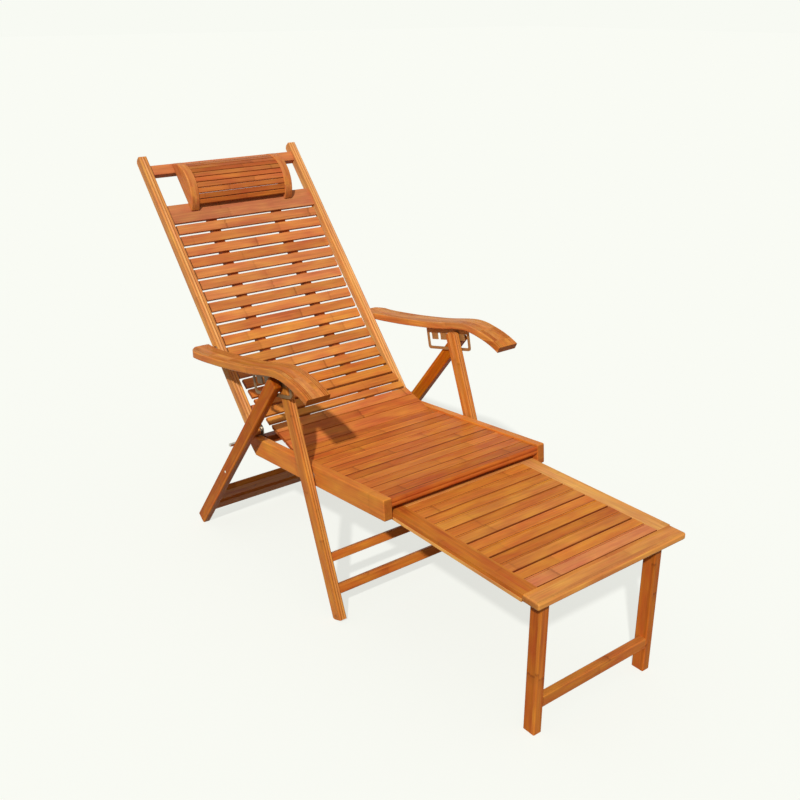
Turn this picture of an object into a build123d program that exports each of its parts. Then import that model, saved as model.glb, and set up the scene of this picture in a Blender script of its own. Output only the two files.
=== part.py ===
from build123d import *
import os
from math import cos, radians, sin

# Bamboo folding recliner: a slatted seat on crossed legs, a slatted back that reclines on five
# notches under the armrests, and a footrest that slides out of the seat on its own folding legs.
# Millimetres and degrees. +Z up, -Y towards the foot end, +X towards the sitter's left.
# Side views are drawn as (rearwards, up) from the top of the seat rails' front ends.

# ---------------------------------------------------------------- driving dimensions
# Clearances
turn_gap = 0.3            # between faces of pieces that move past each other
bolt_play = 0.05          # radial clearance of a bolt in its hole
finger_gap = 0.8          # joint between two slats laid tight

# Ridges down the front of the stiles and the front legs
ridge_count = 3
ridge_rise = 1.5

# Seat frame
seat_height = 375.2       # floor to the top of a rail's front end
seat_fall = 4.97          # fall of the seat towards the back
seat_width = 480.0        # over both rails
rail_thickness = 22.0
rail_height = 50.0
rail_end_drop = 16.0      # square part of the rail's rear end, above its bevel
rail_end_margin = 13.0    # wood behind the stop rod
rail_nose_round = 4.0
edge_round = 2.5          # rounding of the boards' long edges
slat_drop = 3.5           # seat surface below the rails' top edges
slat_thickness = 9.0
slat_round = 1.2
nosing_depth = 17.0
nosing_height = 20.0
nosing_crest = 0.6        # its ridges' crests and the valley between them, behind its front
nosing_valley = 2.5
front_bar_depth = 28.0
flat_seat_end = 404.0     # where the seat starts to rise towards the back
flat_slat_count = 12
seat_rise = ((439.0, -25.7), (472.0, -15.2), (504.0, -5.7))   # joints of the risen slats
risen_slat_gap = 2.0
rib_spacing = 206.0       # between the middles of the two ribs under a slatted panel
rib_thickness = 24.0
ledger_thickness = 12.0   # strips on the rails' inner faces, under the slat ends
cross_bar_along = 527.0
cross_bar_width = 30.0
cross_bar_height = 20.0
risen_slat_room = 5.0     # between the rails and the ends of the slats that stand above them

# Back
back_angle = 48.67        # of the stiles, from level
back_pivot_along = 555.5
stile_thickness = 22.0
stile_depth = 28.0
stile_length = 819.3      # pivot to top
stile_beyond_rail = 6.5   # a stile's outer face, outside its rail's
stile_top_round = 13.5    # at the back
stile_top_corner = 4.0    # at the front
hinge_plate_thickness = 3.0
hinge_plate_foot = 22.0   # width of the part that is screwed to the rail
hinge_plate_below = 46.0
spacer_diameter = 20.0
back_slat_count = 18
back_slat_gap = 7.0
back_slat_thickness = 9.0
upper_slat_room = 0.6     # between the upper slats' ends and the rails' inner faces
back_curve_points = ((15.3, 45.0), (60.0, 27.5), (109.0, 13.0), (172.0, 1.5), (250.0, -4.5),
                     (400.0, -3.5), (500.0, -0.5), (606.0, 5.0))
back_rib_depth = 18.0
sweep_radius = 55.0       # the lowest back slat's path round the pivot
sweep_room = 1.0          # between that path and the seat
sweep_floor = 4.0         # of that path, above the rails' top edges
low_slat_turn = 100.3     # of the lowest slat's lower edge round the pivot, from the stile
rib_heel_radius = 28.0    # of the back rib's lower end round the pivot
top_slat_width = 56.0
top_slat_gap = 6.0
top_rail_width = 30.0
top_rail_thickness = 20.0
top_rail_below_end = 26.0  # from the stiles' tops
low_bar_thickness = 12.0

# Headrest
head_cheek_thickness = 24.0
head_width = 318.0
head_length = 155.0       # along the stiles
head_above_slat = 127.0   # upper end above the top slat's upper edge
head_crown = 49.0
head_corner = 3.0
head_slat_count = 10
head_slat_spread = 53.0   # degrees either side of the crown
head_slat_thickness = 6.0
head_slat_inset = 2.5
head_slat_gap = 1.2

# Legs
front_leg_angle = 69.05
front_leg_thickness = 18.5
front_leg_depth = 34.0
leg_bolt_along = 280.8
apex_above_bolt = 229.6
rear_leg_angle = 51.21
rear_leg_thickness = 18.4
rear_leg_depth = 34.0
rear_leg_head = 11.0      # from the apex bolt to the flat top end
rear_leg_corner = 6.0
foot_flat = 10.0          # level cut across the low corner of a leg's square end
leg_spacer = 7.0          # between a rail and a front leg
apex_spacer = 8.5         # between a front and a rear leg
stretcher_thickness = 16.0
stretcher_set_back = 1.0  # behind the front legs' faces
front_stretchers = ((187.4, 20.0), (262.9, 23.0))    # top edge below the bolt, height
rear_stretchers = ((542.0, 56.0), (615.7, 42.0))     # top edge below the apex, height
bolt_diameter = 8.0
bolt_head_diameter = 16.0
bolt_head_height = 2.5
bolt_dome_share = 0.6     # of a head's height, rounded
bolt_cover = 3.0          # wood left over a hidden bolt's end
bolt_tip_inset = 0.8      # from a rail's inner face
stop_rod_diameter = 9.0
stop_rod_beyond = 7.6     # outside the rear legs
stop_rod_chamfer = 1.0
stop_rod_below = 12.0

# Armrests
arm_pivot_along = 236.0
arm_beyond_stile = 2.5    # an arm's inner edge, outside its stile's outer face
arm_width = 61.0
arm_thickness = 17.5
arm_line = ((35.0, -1.0), (-10.0, -0.5), (-73.0, 6.5), (-125.0, 13.5), (-198.0, 25.0),
            (-314.0, 47.5), (-393.0, 64.0), (-420.0, 65.0), (-460.0, 59.5), (-506.0, 48.5),
            (-530.0, 38.5))   # middle of its thickness, from the arm pivot
arm_steps = 14            # along its side view's curves
arm_rear_outer_corner = 42.0
arm_rear_inner_corner = 14.0
arm_front_corner = 2.5
arm_grooves = (5.0, 9.5, 14.0)    # from either long edge to a groove's middle
arm_groove_width = 1.6
arm_groove_depth = 1.4
arm_bolt_reach = 30.0     # of the pivot bolt into the arm

# Notched brackets under the arms
plate_thickness = 3.0
plate_let_in = 6.0        # into the arm's underside
plate_tilt = -12.5
notch_pitch = 36.0
notches_ahead = 1         # of the apex bolt
notches_behind = 3
notch_width = 13.0
notch_top = 9.0           # above the apex bolt
notch_height = 18.0
window_height = 19.0
plate_border = 7.5
plate_corner = 9.0
plate_blank = 100.0       # height before the arm's underside trims it
notch_corner = 4.0

# Footrest
footrest_slide = 430.0
guide_rod_diameter = 5.0
guide_rod_along = 30.0
guide_above_edge = 9.7    # guide groove's middle above the rail's lower edge
guide_groove_depth = 5.0
guide_rod_end_gap = 1.0
rod_below_top = 5.0
rib_above_footrest = 4.0  # the seat's ribs and ledgers clear the pushed-in footrest
footrest_reach = 436.4    # its front edge, ahead of the rails
footrest_side_gap = 3.2
footrest_tail = 10.0      # behind the guide rod
side_board_width = 40.0
side_board_thickness = 9.0
runner_thickness = 7.0
runner_beyond = 1.0       # outside the side boards
runner_width = 52.0
front_board_width = 42.4
front_board_round = 5.0
rear_bar_width = 30.0
footrest_slat_count = 12
footrest_slat_gap = 3.0
footrest_batten_width = 30.0
foot_leg_thickness = 21.7
foot_leg_depth = 30.6
foot_leg_inset = 38.1     # from the footrest's side
foot_leg_front = 27.1     # front board's edge to the leg's front face
foot_bar_height = 25.0
foot_bar_bottom = 60.0
foot_bar_thickness = 18.0
knuckle_radius = 2.7
middle_start = 0.34       # the hinge's middle knuckle, in shares of its width
middle_end = 0.66
leaf_thickness = 1.4
leaf_length = 22.0
hinge_pin_diameter = 2.6

# ---------------------------------------------------------------- places worked out
def step_from(point, angle, along, across=0.0):
    """The point that lies `along` a line at `angle` from `point`, and `across` to its left."""
    c, s = cos(radians(angle)), sin(radians(angle))
    return (point[0] + along * c - across * s, point[1] + along * s + across * c)


seat_front = (0.0, seat_height)
seat_angle = -seat_fall
rail_inside = seat_width / 2 - rail_thickness
rail_outside = seat_width / 2
leg_bolt = step_from(seat_front, seat_angle, leg_bolt_along, -rail_height / 2)
apex = step_from(leg_bolt, front_leg_angle, apex_above_bolt)
front_leg_inside = rail_outside + leg_spacer
front_leg_outside = front_leg_inside + front_leg_thickness
rear_leg_inside = front_leg_outside + apex_spacer
rear_leg_outside = rear_leg_inside + rear_leg_thickness

stop_rod_length = 2 * (rear_leg_outside + stop_rod_beyond)
curve_slat_half = rail_inside - risen_slat_room

back_pivot_above = stile_depth / 2 + turn_gap
back_pivot = step_from(seat_front, seat_angle, back_pivot_along, back_pivot_above)
stile_outside = seat_width + 2 * stile_beyond_rail
stile_inside = stile_outside / 2 - stile_thickness
arm_inside = stile_outside / 2 + arm_beyond_stile
arm_pivot = step_from(back_pivot, back_angle, arm_pivot_along)

# The stop rod lies against the rear legs' upper faces.
rod_standoff = rear_leg_depth / 2 + stop_rod_diameter / 2 + turn_gap
rod_start = step_from(seat_front, seat_angle, 0.0, -stop_rod_below)
rear_leg_normal = (sin(radians(rear_leg_angle)), cos(radians(rear_leg_angle)))
rod_start_off = ((rod_start[0] - apex[0]) * rear_leg_normal[0]
                 + (rod_start[1] - apex[1]) * rear_leg_normal[1])
rod_gain = (cos(radians(seat_fall)) * rear_leg_normal[0]
            - sin(radians(seat_fall)) * rear_leg_normal[1])
stop_rod_along = (rod_standoff - rod_start_off) / rod_gain
rail_length = stop_rod_along + rail_end_margin

guide_below = rail_height - guide_above_edge
guide_rod = step_from(seat_front, seat_angle, guide_rod_along, -guide_below)
footrest_top = guide_rod[1] + rod_below_top
footrest_rear = guide_rod[0] + footrest_tail
footrest_half = rail_inside - footrest_side_gap
board_thickness = side_board_thickness + runner_thickness
footrest_under = footrest_top - board_thickness
slat_half = footrest_half - side_board_width
foot_leg_outside = footrest_half - foot_leg_inset
foot_leg_inside = foot_leg_outside - foot_leg_thickness
rib_bottom = guide_below - rod_below_top - rib_above_footrest
rib_top = slat_drop + slat_thickness

# The whole chair is centred on its length.
stile_corner = step_from(back_pivot, back_angle, stile_length - stile_top_round,
                         stile_top_round - stile_depth / 2)
rear_reach = stile_corner[0] + stile_top_round
y_shift = -(rear_reach - footrest_reach) / 2


def leg_end(pivot, angle, depth):
    """How far below its pivot a leg is cut square, so that its low corner leaves a level flat."""
    c, s = cos(radians(angle)), sin(radians(angle))
    return (pivot[1] + foot_flat * s * c - depth / 2 * c) / s


def foot_middle(pivot, angle, depth, rearwards):
    """The middle of that flat, under a leg that runs down rearwards (1) or forwards (-1)."""
    c, s = cos(radians(angle)), sin(radians(angle))
    run = (pivot[1] - depth / 2 * c) / s * c - depth / 2 * s + foot_flat / 2
    return (pivot[0] + rearwards * run, 0.0)


front_foot = foot_middle(leg_bolt, front_leg_angle, front_leg_depth, -1)
rear_foot = foot_middle(apex, rear_leg_angle, rear_leg_depth, 1)


def side_plane(point, angle=0.0, x=0.0):
    """Upright plane facing +X through a side-view point, its x axis at `angle` from level."""
    turn = radians(angle)
    origin = (x, point[0] + y_shift, point[1])
    return Plane(origin=origin, x_dir=(0, cos(turn), sin(turn)), z_dir=(1, 0, 0))


def end_plane(point, angle, x):
    """Plane square to a board that runs at `angle`, its y axis towards the board's front."""
    turn = radians(angle)
    origin = (x, point[0] + y_shift, point[1])
    return Plane(origin=origin, x_dir=(-1, 0, 0), z_dir=(0, cos(turn), sin(turn)))


def save(piece, label):
    """Name a finished piece and write its STEP file."""
    piece.label = label
    export_step(piece, f"parts/{label}.step")


def save_pair(left_piece, label):
    """Write a piece of the left side and its mirror image for the right side."""
    right_piece = mirror(left_piece, about=Plane.YZ)
    save(left_piece, f"{label}_left")
    save(right_piece, f"{label}_right")


def save_both_sides(left_piece, label):
    """Write one group that holds a left piece and its mirror image."""
    with BuildPart() as both:
        add(left_piece)
        mirror(left_piece, about=Plane.YZ)
    save(both.part, label)


def cross_board(point, angle, width, thickness, half_length, corner):
    """A board across the chair: its top edge starts at `point` and its width runs at `angle`."""
    with BuildPart() as board:
        with BuildSketch(side_plane(point, angle, -half_length)):
            with Locations((width / 2, -thickness / 2)):
                RectangleRounded(width, thickness, corner)
        extrude(amount=2 * half_length)
    return board.part


def slat_row(joints, gap, thickness, half_length):
    """Slats across the chair, one between each two of a row of side-view points."""
    with BuildPart() as row:
        for start, end in zip(joints, joints[1:]):
            run = Vector(end[0] - start[0], end[1] - start[1])
            turn = Vector(1, 0).get_signed_angle(run, Vector(0, 0, 1))
            with BuildSketch(side_plane(start, turn, -half_length)):
                with Locations((run.length / 2, -thickness / 2)):
                    RectangleRounded(run.length - gap, thickness, slat_round)
            extrude(amount=2 * half_length)
    return row.part


def undersides(joints, depth):
    """The line that lies `depth` under a row of slats, with one point for each joint."""
    runs = [Vector(end[0] - start[0], end[1] - start[1]).normalized()
            for start, end in zip(joints, joints[1:])]
    line = []
    for joint, before, after in zip(joints, runs[:1] + runs, runs + runs[-1:]):
        share = depth / (1 + before.dot(after))
        line.append((joint[0] + (before.Y + after.Y) * share,
                     joint[1] - (before.X + after.X) * share))
    return line


def ridged_section(width, depth):
    """A board's cross-section, its front edge worked into rounded ridges."""
    pitch = width / ridge_count
    valley = depth / 2 - ridge_rise
    with BuildSketch() as section:
        with BuildLine():
            for i in range(ridge_count):
                start = width / 2 - i * pitch
                ThreePointArc((start, valley), (start - pitch / 2, depth / 2), (start - pitch, valley))
            Polyline((-width / 2, valley), (-width / 2, -depth / 2),
                     (width / 2, -depth / 2), (width / 2, valley))
        make_face()
        fillet(section.vertices().group_by(Axis.Y)[0], edge_round)
    return section.sketch


def bolt_shank(point, start_x, end_x):
    """A bolt's plain shank along X."""
    with BuildPart() as shank:
        with BuildSketch(side_plane(point, 0, start_x)):
            Circle(bolt_diameter / 2)
        extrude(amount=end_x - start_x)
    return shank.part


def bolt_hole(point, start_x, end_x):
    """What a bolt's hole takes out of the boards between two X values."""
    with BuildPart() as hole:
        with BuildSketch(side_plane(point, 0, start_x)):
            Circle(bolt_diameter / 2 + bolt_play)
        extrude(amount=end_x - start_x)
    return hole.part


def spacer(point, start_x, end_x):
    """A ring round a bolt, between two boards."""
    with BuildPart() as ring:
        with BuildSketch(side_plane(point, 0, start_x)):
            Circle(spacer_diameter / 2)
            Circle(bolt_diameter / 2 + bolt_play, mode=Mode.SUBTRACT)
        extrude(amount=end_x - start_x)
    return ring.part


os.makedirs("parts", exist_ok=True)

# ---------------------------------------------------------------- seat frame
# Side rails, with a guide groove inside for the footrest's rod.
with BuildPart() as seat_rail:
    with BuildSketch(side_plane(seat_front, seat_angle, rail_inside)) as rail_side:
        bevel = rail_height - rail_end_drop
        with BuildLine():
            Polyline((0, 0), (rail_length, 0), (rail_length, -rail_end_drop),
                     (rail_length - bevel, -rail_height), (0, -rail_height), close=True)
        make_face()
        fillet(rail_side.vertices().sort_by(Axis.X)[:2], rail_nose_round)
    extrude(amount=rail_thickness)
    rail_faces = seat_rail.faces().filter_by(Axis.X)
    fillet(rail_faces.edges(), edge_round)
    with BuildSketch(side_plane(seat_front, seat_angle, rail_inside)):
        with Locations((guide_rod_along + footrest_slide / 2, -guide_below)):
            SlotCenterToCenter(footrest_slide, guide_rod_diameter + 2 * turn_gap)
    extrude(amount=guide_groove_depth, mode=Mode.SUBTRACT)
    with BuildSketch(side_plane(leg_bolt, 0, rail_inside)):
        Circle(bolt_diameter / 2 + bolt_play)
    with BuildSketch(side_plane(seat_front, seat_angle, rail_inside)):
        with Locations((stop_rod_along, -stop_rod_below)):
            Circle(stop_rod_diameter / 2 + bolt_play)
    extrude(amount=rail_thickness, mode=Mode.SUBTRACT)
save_pair(seat_rail.part, "seat_rail")

# Front bar with its two-ridged nosing.
with BuildPart() as seat_nosing:
    with BuildSketch(side_plane(seat_front, seat_angle, -rail_inside)):
        with BuildLine():
            top = -slat_drop
            bottom = -slat_drop - nosing_height
            middle = (top + bottom) / 2
            quarter = nosing_height / 4
            Line((nosing_depth, top), (quarter, top))
            ThreePointArc((quarter, top), (nosing_crest, top - quarter), (nosing_valley, middle))
            ThreePointArc((nosing_valley, middle), (nosing_crest, bottom + quarter),
                          (quarter, bottom))
            Line((quarter, bottom), (nosing_depth, bottom))
            Line((nosing_depth, bottom), (nosing_depth, top))
        make_face()
    extrude(amount=2 * rail_inside)
save(seat_nosing.part, "seat_nosing")

front_bar_point = step_from(seat_front, seat_angle, nosing_depth, -rib_top)
front_bar_height = slat_drop + nosing_height - rib_top
save(cross_board(front_bar_point, seat_angle, front_bar_depth, front_bar_height, rail_inside,
                 slat_round), "seat_front_bar")

# Flat slats, then the tight slats that rise towards the back.
flat_run = flat_seat_end - nosing_depth
flat_joints = [step_from(seat_front, seat_angle, nosing_depth + i * flat_run / flat_slat_count,
                         -slat_drop) for i in range(flat_slat_count + 1)]
save(slat_row(flat_joints, finger_gap, slat_thickness, rail_inside), "seat_slats")

rise_joints = [flat_joints[-1]] + [(y, seat_height + z) for y, z in seat_rise]
# The back's lowest slat swings past their end, so that end is cut to its path.
with BuildPart() as back_sweep:
    with BuildSketch(side_plane(back_pivot, seat_angle, -rail_outside)):
        Circle(sweep_radius + sweep_room)
        with Locations((0, sweep_floor - back_pivot_above)):
            Rectangle(3 * sweep_radius, 2 * sweep_radius, align=(Align.CENTER, Align.MAX),
                      mode=Mode.SUBTRACT)
    extrude(amount=2 * rail_outside)

with BuildPart() as seat_curve_slats:
    add(slat_row(rise_joints, risen_slat_gap, slat_thickness, curve_slat_half))
    add(back_sweep.part, mode=Mode.SUBTRACT)
save(seat_curve_slats.part, "seat_curve_slats")

# Ledgers on the rails' inner faces carry the ends of the flat slats.
ledger_start = nosing_depth + front_bar_depth
with BuildPart() as seat_ledger:
    with BuildSketch(side_plane(seat_front, seat_angle, rail_inside - ledger_thickness)):
        with Locations(((ledger_start + flat_seat_end) / 2, -(rib_top + rib_bottom) / 2)):
            RectangleRounded(flat_seat_end - ledger_start, rib_bottom - rib_top, slat_round)
    extrude(amount=ledger_thickness)
save_pair(seat_ledger.part, "seat_ledger")

# Ribs under the seat follow the slats' undersides up to the back and end on the cross bar.
with BuildPart() as seat_rib:
    rib_x = rib_spacing / 2 - rib_thickness / 2
    under = undersides([flat_joints[0]] + rise_joints, slat_thickness)
    low_front = step_from(seat_front, seat_angle, ledger_start, -rib_bottom)
    top_front = step_from(seat_front, seat_angle, ledger_start, -rib_top)
    low_rear = step_from(seat_front, seat_angle, cross_bar_along, -rib_bottom)
    high_rear = step_from(seat_front, seat_angle, cross_bar_along, 0)
    with BuildSketch(side_plane((0, 0), 0, rib_x)):
        with BuildLine():
            Polyline(top_front, *under[1:], (under[-1][0], high_rear[1]), high_rear, low_rear,
                     low_front, close=True)
        make_face()
    extrude(amount=rib_thickness)
    add(back_sweep.part, mode=Mode.SUBTRACT)
save_pair(seat_rib.part, "seat_rib")

cross_bar_point = step_from(seat_front, seat_angle, cross_bar_along)
plate_x = rail_inside - hinge_plate_thickness
save(cross_board(cross_bar_point, seat_angle, cross_bar_width, cross_bar_height, plate_x,
                 edge_round), "seat_rear_bar")

# Steel stop rod through both rails.
rod_point = step_from(seat_front, seat_angle, stop_rod_along, -stop_rod_below)
with BuildPart() as leg_stop_rod:
    with BuildSketch(side_plane(rod_point, 0, -stop_rod_length / 2)):
        Circle(stop_rod_diameter / 2)
    extrude(amount=stop_rod_length)
    chamfer(leg_stop_rod.faces().filter_by(Axis.X).edges(), stop_rod_chamfer)
save(leg_stop_rod.part, "leg_stop_rod")

# Steel plates that stand up inside the rails and carry the back's pivots.
with BuildPart() as back_hinge_plate:
    with BuildSketch(side_plane(back_pivot, seat_angle, plate_x)):
        Circle(stile_depth / 2)
        with Locations((-stile_depth / 2, 0)):
            Rectangle(hinge_plate_foot, hinge_plate_below, align=(Align.MIN, Align.MAX))
        Circle(bolt_diameter / 2 + bolt_play, mode=Mode.SUBTRACT)
    extrude(amount=hinge_plate_thickness)
save_pair(back_hinge_plate.part, "back_hinge_plate")

# Bolts and spacers that stay with the seat: one pair carries the back, the other the front legs.
stile_outside_x = stile_outside / 2
back_head_x = stile_outside_x + turn_gap
with BuildPart() as back_bolt:
    add(bolt_shank(back_pivot, plate_x, back_head_x))
    with BuildSketch(side_plane(back_pivot, 0, back_head_x)):
        Circle(bolt_head_diameter / 2)
    extrude(amount=bolt_head_height)
    fillet(back_bolt.faces().sort_by(Axis.X)[-1].edges(), bolt_head_height * bolt_dome_share)
save_both_sides(back_bolt.part, "back_pivot_bolts")
leg_bolt_end = front_leg_outside - bolt_cover
save_both_sides(bolt_shank(leg_bolt, rail_inside + bolt_tip_inset, leg_bolt_end - turn_gap),
                "leg_pivot_bolts")
with BuildPart() as pivot_spacers:
    add(spacer(back_pivot, rail_inside, stile_inside - turn_gap))
    add(spacer(leg_bolt, rail_outside, front_leg_inside - turn_gap))
save_both_sides(pivot_spacers.part, "pivot_spacers")

# ---------------------------------------------------------------- back
# Stiles: three rounded ridges down the front, a round foot at the pivot.
with BuildPart() as back_stile:
    stile_foot = step_from(back_pivot, back_angle, -stile_depth / 2)
    stile_middle = stile_inside + stile_thickness / 2
    with BuildSketch(end_plane(stile_foot, back_angle, stile_middle)):
        add(ridged_section(stile_thickness, stile_depth))
    extrude(amount=stile_length + stile_depth / 2)
    with BuildSketch(side_plane(back_pivot, back_angle, stile_inside)) as stile_side:
        Circle(stile_depth / 2)
        Rectangle(stile_length, stile_depth, align=(Align.MIN, Align.CENTER))
        top_corners = stile_side.vertices().group_by(Axis.X)[-1].sort_by(Axis.Y)
        fillet(top_corners[0], stile_top_round)
        fillet(stile_side.vertices().group_by(Axis.X)[-1].sort_by(Axis.Y)[-1], stile_top_corner)
        Circle(bolt_diameter / 2 + bolt_play, mode=Mode.SUBTRACT)
    extrude(amount=stile_thickness, mode=Mode.INTERSECT)
    add(bolt_hole(arm_pivot, stile_inside + bolt_cover, stile_outside_x), mode=Mode.SUBTRACT)
save_pair(back_stile.part, "back_stile")


def on_back(along, front):
    """A side-view point given along a stile from its pivot and ahead of its middle line."""
    return step_from(back_pivot, back_angle, along, front)


# The slats lie on a gentle curve that comes forward at the bottom to meet the seat.
back_curve = Spline(*[on_back(*p) for p in back_curve_points])
back_pitch = back_curve.length / back_slat_count
back_joints = []
for i in range(back_slat_count + 1):
    spot = back_curve.position_at(i * back_pitch, position_mode=PositionMode.LENGTH)
    back_joints.append((spot.X, spot.Y))
low_turn = radians(low_slat_turn)
low_joint = on_back(sweep_radius * cos(low_turn), sweep_radius * sin(low_turn))
lower_joints = [low_joint] + back_joints[:5]
save(slat_row(lower_joints, back_slat_gap, back_slat_thickness, curve_slat_half),
     "back_slats_lower")
upper_slat_half = rail_inside - upper_slat_room
save(slat_row(back_joints[4:], back_slat_gap, back_slat_thickness, upper_slat_half),
     "back_slats_upper")

# The wide top slat and the top rail reach from stile to stile.
face_along, face_front = back_curve_points[-1]
top_slat_start = on_back(face_along + top_slat_gap / 2, face_front)
save(cross_board(top_slat_start, back_angle, top_slat_width, back_slat_thickness, stile_inside,
                 slat_round), "back_top_slat")
rail_start_along = stile_length - top_rail_below_end - top_rail_width
save(cross_board(on_back(rail_start_along, face_front), back_angle, top_rail_width,
                 top_rail_thickness, stile_inside, edge_round), "back_top_rail")


# Ribs behind the slats, from the lowest slat to the wide one.
rib_top_along = face_along + top_slat_gap / 2 + top_slat_width
rib_joints = [low_joint] + back_joints + [on_back(rib_top_along, face_front)]
rib_front = undersides(rib_joints, back_slat_thickness)
rib_rear = undersides(rib_joints, back_slat_thickness + back_rib_depth)[1:]
rib_heel = on_back(rib_heel_radius * cos(low_turn), rib_heel_radius * sin(low_turn))
with BuildPart() as back_rib:
    with BuildSketch(side_plane((0, 0), 0, rib_x)):
        with BuildLine():
            Polyline(*rib_front, *reversed(rib_rear), rib_heel, close=True)
        make_face()
    extrude(amount=rib_thickness)
save_pair(back_rib.part, "back_rib")

# The lower cross bar lies behind the ribs' straight stretch over the second slat.
bar_run = Vector(rib_rear[2][0] - rib_rear[1][0], rib_rear[2][1] - rib_rear[1][1])
bar_angle = Vector(1, 0).get_signed_angle(bar_run, Vector(0, 0, 1))
save(cross_board(rib_rear[1], bar_angle, bar_run.length, low_bar_thickness, stile_inside,
                 edge_round), "back_low_bar")

# Headrest: D-shaped cheeks on the top slat and the top rail, with narrow slats between them.
head_end = rib_top_along + head_above_slat
head_middle = head_end - head_length / 2
head_radius = (head_length ** 2 / 4 + head_crown ** 2) / (2 * head_crown)
head_centre = on_back(head_middle, face_front + head_crown - head_radius)
cheek_inside = head_width / 2 - head_cheek_thickness
with BuildPart() as headrest_cheek:
    with BuildSketch(side_plane(back_pivot, back_angle, cheek_inside)) as cheek_side:
        with BuildLine():
            low_end = (head_end - head_length, face_front)
            high_end = (head_end, face_front)
            ThreePointArc(low_end, (head_middle, face_front + head_crown), high_end)
            Line(high_end, low_end)
        make_face()
        fillet(cheek_side.vertices(), head_corner)
    extrude(amount=head_cheek_thickness)
    fillet(headrest_cheek.faces().filter_by(Axis.X).edges(), edge_round)
save_pair(headrest_cheek.part, "headrest_cheek")

head_slat_radius = head_radius - head_slat_inset
head_joints = []
for i in range(head_slat_count + 1):
    turn = back_angle + 90 + head_slat_spread * (1 - 2 * i / head_slat_count)
    head_joints.append(step_from(head_centre, turn, head_slat_radius))
save(slat_row(head_joints, head_slat_gap, head_slat_thickness, cheek_inside), "headrest_slats")

# Bolts that stay with the back and carry the armrests.
save_both_sides(bolt_shank(arm_pivot, stile_inside + bolt_cover + turn_gap,
                           arm_inside + arm_bolt_reach), "arm_pivot_bolts")
save_both_sides(spacer(arm_pivot, stile_outside_x, arm_inside - turn_gap), "arm_pivot_spacers")

# ---------------------------------------------------------------- armrests
arm_curve = Spline(*[(arm_pivot[0] + y, arm_pivot[1] + z) for y, z in arm_line])


def arm_level(rise):
    """Points of the arm's side view at `rise` above the middle of its thickness."""
    points = []
    for i in range(arm_steps + 1):
        spot = arm_curve @ (i / arm_steps)
        run = arm_curve % (i / arm_steps)
        points.append((spot.X + run.Y * rise, spot.Y - run.X * rise))
    return points


def arm_band(low, high):
    """The arm's side view between two levels of its thickness."""
    with BuildSketch() as band:
        with BuildLine():
            upper = Spline(*arm_level(high))
            lower = Spline(*arm_level(low))
            Line(upper @ 0, lower @ 0)
            Line(upper @ 1, lower @ 1)
        make_face()
    return band.sketch


# Slotted steel plates let into the arms' undersides; the apex bolts sit in one of their notches.
plate_inside = front_leg_outside + (apex_spacer - plate_thickness) / 2
with BuildPart() as arm_bracket:
    with BuildSketch(side_plane(apex, plate_tilt, plate_inside)) as bracket_side:
        rear_end = notches_behind * notch_pitch + notch_width / 2 + plate_border
        front_end = -notches_ahead * notch_pitch - notch_width / 2 - plate_border
        tip = notch_top - notch_height
        bottom = tip - window_height - plate_border
        with Locations(((rear_end + front_end) / 2, bottom)):
            Rectangle(rear_end - front_end, plate_blank, align=(Align.CENTER, Align.MIN))
        fillet(bracket_side.vertices().group_by(Axis.Y)[0], plate_corner)
        with Locations(((rear_end + front_end) / 2, tip - window_height / 2)):
            RectangleRounded(rear_end - front_end - 2 * plate_border, window_height,
                             notch_corner, mode=Mode.SUBTRACT)
        for i in range(-notches_ahead, notches_behind + 1):
            with Locations((i * notch_pitch, tip + notch_height / 2 - notch_width / 4)):
                RectangleRounded(notch_width, notch_height + notch_width / 2, notch_corner,
                                 mode=Mode.SUBTRACT)
    extrude(amount=plate_thickness)
    with BuildSketch(side_plane((0, 0), 0, plate_inside)):
        add(arm_band(plate_let_in - arm_thickness / 2, plate_blank))
    extrude(amount=plate_thickness, mode=Mode.SUBTRACT)

with BuildPart() as armrest:
    with BuildSketch(side_plane((0, 0), 0, arm_inside)):
        add(arm_band(-arm_thickness / 2, arm_thickness / 2))
    extrude(amount=arm_width)
    fillet(armrest.faces().filter_by(Axis.X).edges().filter_by(GeomType.BSPLINE), edge_round)
    arm_front_y = arm_pivot[0] + arm_line[-1][0] + y_shift
    arm_rear_y = arm_pivot[0] + arm_line[0][0] + y_shift
    with BuildSketch(Plane.XY) as arm_plan:
        with Locations((arm_inside + arm_width / 2, (arm_front_y + arm_rear_y) / 2)):
            Rectangle(arm_width, arm_rear_y - arm_front_y + arm_thickness / 2)
        fillet(arm_plan.vertices().group_by(Axis.Y)[0], arm_front_corner)
        rear_inner, rear_outer = arm_plan.vertices().group_by(Axis.Y)[-1].sort_by(Axis.X)
        fillet(rear_outer, arm_rear_outer_corner)
        rear_inner = arm_plan.vertices().group_by(Axis.Y)[-1].sort_by(Axis.X)[0]
        fillet(rear_inner, arm_rear_inner_corner)
    extrude(amount=2 * seat_height, mode=Mode.INTERSECT)
    for groove in arm_grooves:
        for middle in (arm_inside + groove, arm_inside + arm_width - groove):
            with BuildSketch(side_plane((0, 0), 0, middle - arm_groove_width / 2)):
                add(arm_band(arm_thickness / 2 - arm_groove_depth, arm_thickness / 2 + 1))
            extrude(amount=arm_groove_width, mode=Mode.SUBTRACT)
    add(arm_bracket.part, mode=Mode.SUBTRACT)
    add(bolt_hole(arm_pivot, arm_inside, arm_inside + arm_bolt_reach + turn_gap),
        mode=Mode.SUBTRACT)
save_pair(armrest.part, "armrest")
save_pair(arm_bracket.part, "arm_bracket")

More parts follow.
